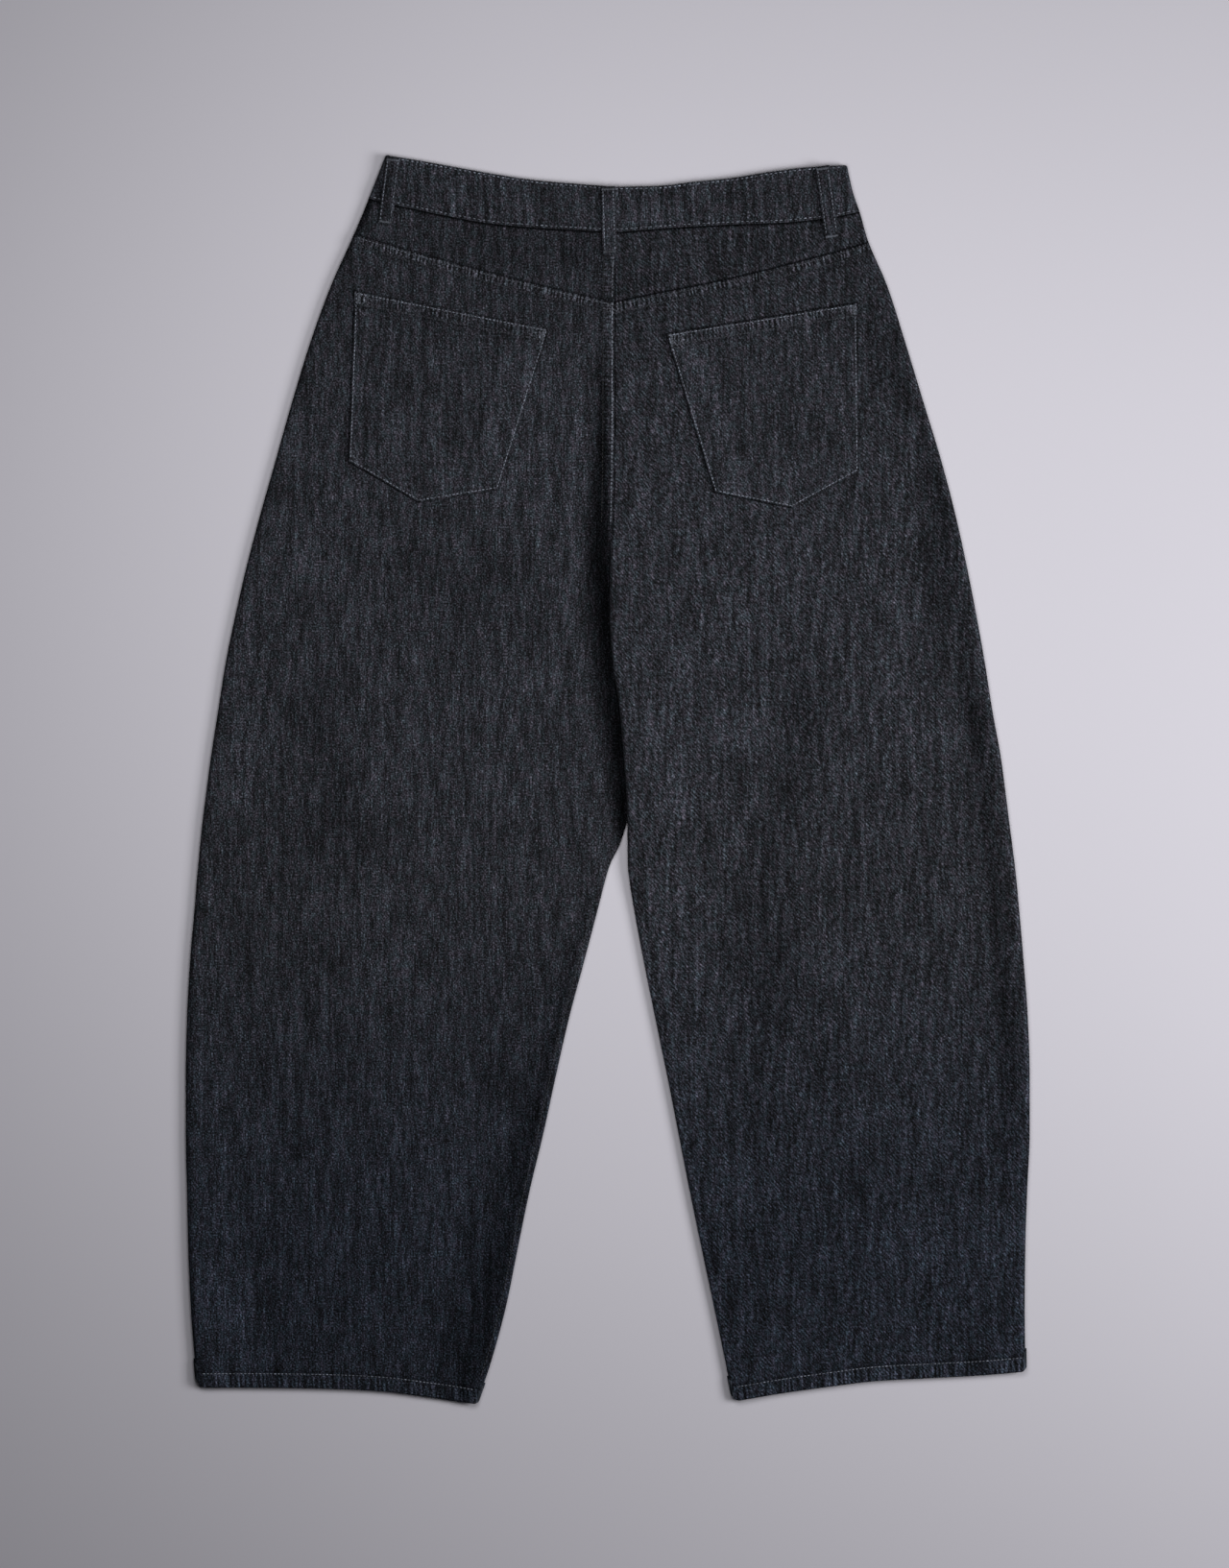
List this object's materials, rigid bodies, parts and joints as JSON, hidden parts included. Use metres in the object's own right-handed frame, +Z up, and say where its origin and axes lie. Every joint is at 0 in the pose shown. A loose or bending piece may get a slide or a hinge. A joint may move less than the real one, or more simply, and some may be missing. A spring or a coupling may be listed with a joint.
{
  "type": "barrel leg trousers",
  "caption": "High-waisted denim trousers with curved barrel legs, laid flat with the back up: waistband, yokes, patch pockets, belt loops and felled seams.",
  "frame": {"origin": "bottom centre of the garment's bounding box, on the surface it lies on", "axes": "+Y from the hems to the waist, +Z up from the surface through the front to the back, -X to the wearer's left"},
  "size_m": [0.676, 1, 0.0102],
  "materials": {
    "denim": "raw black twill, matt",
    "thread": "dark grey stitching",
    "button_metal": "dark satin"
  },
  "bodies": {
    "root": {"back_panel_left": "denim", "back_panel_right": "denim", "front_panel_left": "denim", "front_panel_right": "denim", "yoke_left": "denim", "yoke_right": "denim", "waistband": "denim", "back_pocket_left": "denim", "back_pocket_right": "denim", "belt_loop_left": "denim", "belt_loop_centre": "denim", "belt_loop_right": "denim", "waist_button": "button_metal"}
  },
  "joints": []
}
